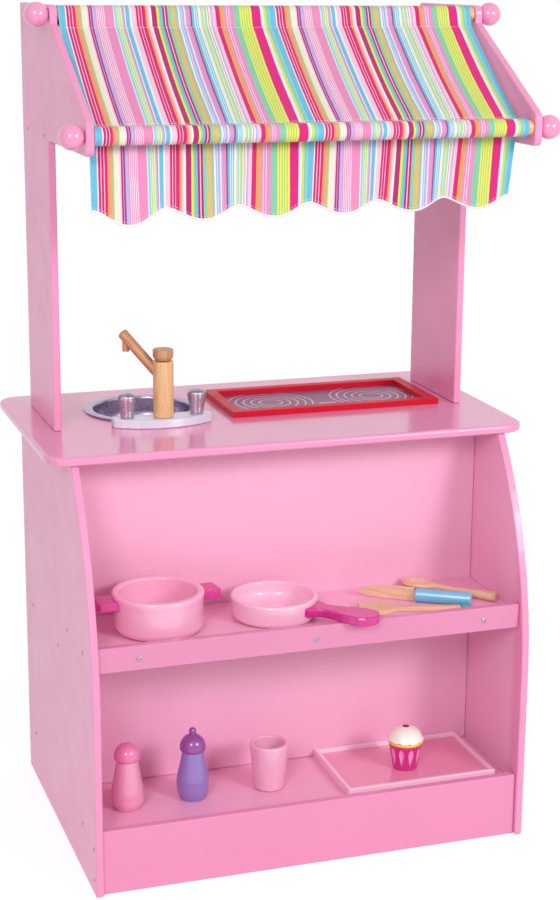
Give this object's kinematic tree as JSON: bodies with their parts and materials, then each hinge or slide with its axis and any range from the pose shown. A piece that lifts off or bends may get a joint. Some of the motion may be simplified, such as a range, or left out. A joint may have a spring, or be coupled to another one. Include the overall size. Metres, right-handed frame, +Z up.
{
  "type": "toy play kitchen",
  "caption": "Painted wooden play kitchen with a shop side: shelves, worktop with sink, tap and hob, striped awning on rods, and loose play cookware and food.",
  "frame": {"origin": "on the floor, midway across the cabinet and midway between the end of the pan's handle, which reaches out furthest, and the worktop's back edge", "axes": "+Z up, -Y towards the shop side with the awning, +X to the right seen from the shop side"},
  "size_m": [0.66, 0.4695, 1.114],
  "materials": {
    "pink_paint": "semi-gloss painted board",
    "light_pink_paint": "gloss paint on turned wood",
    "magenta_paint": "gloss painted wood",
    "beech": "clear-coated beech",
    "pale_wood": "clear-coated pale wood",
    "silver_paint": "silver painted wood",
    "sink_metal": "satin metal",
    "screw_steel": "bright steel",
    "striped_cloth": "striped woven cotton",
    "red_paint": "gloss red paint",
    "hob_grey": "printed grey board",
    "light_blue_paint": "gloss light-blue paint",
    "teal_paint": "gloss teal paint",
    "salt_pink": "gloss paint on turned wood",
    "salt_cap_pink": "gloss paint on turned wood",
    "purple_paint": "gloss paint on turned wood",
    "dark_purple_paint": "gloss paint on turned wood",
    "tray_pink": "gloss painted board",
    "icing_white": "gloss white paint",
    "cherry_red": "gloss red paint"
  },
  "bodies": {
    "kitchen": {"side_panel_left": "pink_paint", "side_panel_right": "pink_paint", "kick_board": "pink_paint", "bottom_shelf": "pink_paint", "centre_partition": "pink_paint", "middle_shelf": "pink_paint", "shelf_rail": "pink_paint", "rear_shelf": "pink_paint", "rail_screw_left": "screw_steel", "rail_screw_middle": "screw_steel", "rail_screw_right": "screw_steel", "worktop": "pink_paint", "upper_board_left": "pink_paint", "upper_board_right": "pink_paint", "cross_board": "pink_paint", "awning_rod_top": "beech", "awning_rod_front": "beech", "ball_knob_top_left": "pink_paint", "ball_knob_top_right": "pink_paint", "ball_knob_front_left": "pink_paint", "ball_knob_front_right": "pink_paint", "awning_cloth": "striped_cloth", "sink_bowl": "sink_metal", "tap_ledge": "silver_paint", "tap_pin": "beech", "knob_pin_left": "beech", "knob_pin_right": "beech", "hob_frame": "red_paint", "hob_plate": "hob_grey"},
    "tap": {"tap_column": "beech", "tap_spout": "beech", "tap_nozzle": "beech"},
    "tap_cap": {"tap_cap": "beech"},
    "tap_knob_left": {"tap_knob_left": "silver_paint"},
    "tap_knob_right": {"tap_knob_right": "silver_paint"},
    "pot": {"pot_body": "light_pink_paint", "pot_handle_left": "magenta_paint", "pot_handle_right": "magenta_paint"},
    "pan": {"pan_body": "light_pink_paint", "pan_handle": "magenta_paint"},
    "knife": {"knife_handle": "light_blue_paint", "knife_blade": "pale_wood"},
    "spoon": {"spoon": "beech"},
    "turner": {"turner": "beech", "turner_tip": "teal_paint"},
    "salt_shaker": {"salt_body": "salt_pink", "salt_cap": "salt_cap_pink"},
    "pepper_shaker": {"pepper_body": "purple_paint", "pepper_cap": "dark_purple_paint"},
    "cup": {"cup": "light_pink_paint"},
    "tray": {"tray_frame": "light_pink_paint", "tray_base": "tray_pink"},
    "cupcake": {"cupcake_case": "magenta_paint", "cupcake_icing": "icing_white", "cupcake_cherry": "cherry_red"}
  },
  "joints": [
    {"name": "tap_swivel", "type": "hinge", "parent": "kitchen", "child": "tap", "pos_m": [-0.145, 0.00375, 0.5726], "axis": [0, 0, 1], "continuous": true},
    {"name": "tap_cap_turn", "type": "hinge", "parent": "tap", "child": "tap_cap", "pos_m": [-0.145, 0.00375, 0.6499], "axis": [0, 0, 1], "continuous": true},
    {"name": "tap_knob_left_turn", "type": "hinge", "parent": "kitchen", "child": "tap_knob_left", "pos_m": [-0.1933, 0.01075, 0.5726], "axis": [0, 0, 1], "continuous": true},
    {"name": "tap_knob_right_turn", "type": "hinge", "parent": "kitchen", "child": "tap_knob_right", "pos_m": [-0.0967, 0.01075, 0.5726], "axis": [0, 0, 1], "continuous": true},
    {"name": "pot_lift", "type": "slide", "parent": "kitchen", "child": "pot", "axis": [0, 0, 1], "range_m": [0, 0.06]},
    {"name": "pan_lift", "type": "slide", "parent": "kitchen", "child": "pan", "axis": [0, 0, 1], "range_m": [0, 0.06]},
    {"name": "knife_lift", "type": "slide", "parent": "kitchen", "child": "knife", "axis": [0, 0, 1], "range_m": [0, 0.06]},
    {"name": "spoon_lift", "type": "slide", "parent": "kitchen", "child": "spoon", "axis": [0, 0, 1], "range_m": [0, 0.06]},
    {"name": "turner_lift", "type": "slide", "parent": "kitchen", "child": "turner", "axis": [0, 0, 1], "range_m": [0, 0.06]},
    {"name": "salt_shaker_lift", "type": "slide", "parent": "kitchen", "child": "salt_shaker", "axis": [0, 0, 1], "range_m": [0, 0.06]},
    {"name": "pepper_shaker_lift", "type": "slide", "parent": "kitchen", "child": "pepper_shaker", "axis": [0, 0, 1], "range_m": [0, 0.06]},
    {"name": "cup_lift", "type": "slide", "parent": "kitchen", "child": "cup", "axis": [0, 0, 1], "range_m": [0, 0.06]},
    {"name": "tray_lift", "type": "slide", "parent": "kitchen", "child": "tray", "axis": [0, 0, 1], "range_m": [0, 0.05]},
    {"name": "cupcake_lift", "type": "slide", "parent": "tray", "child": "cupcake", "axis": [0, 0, 1], "range_m": [0, 0.06]}
  ]
}
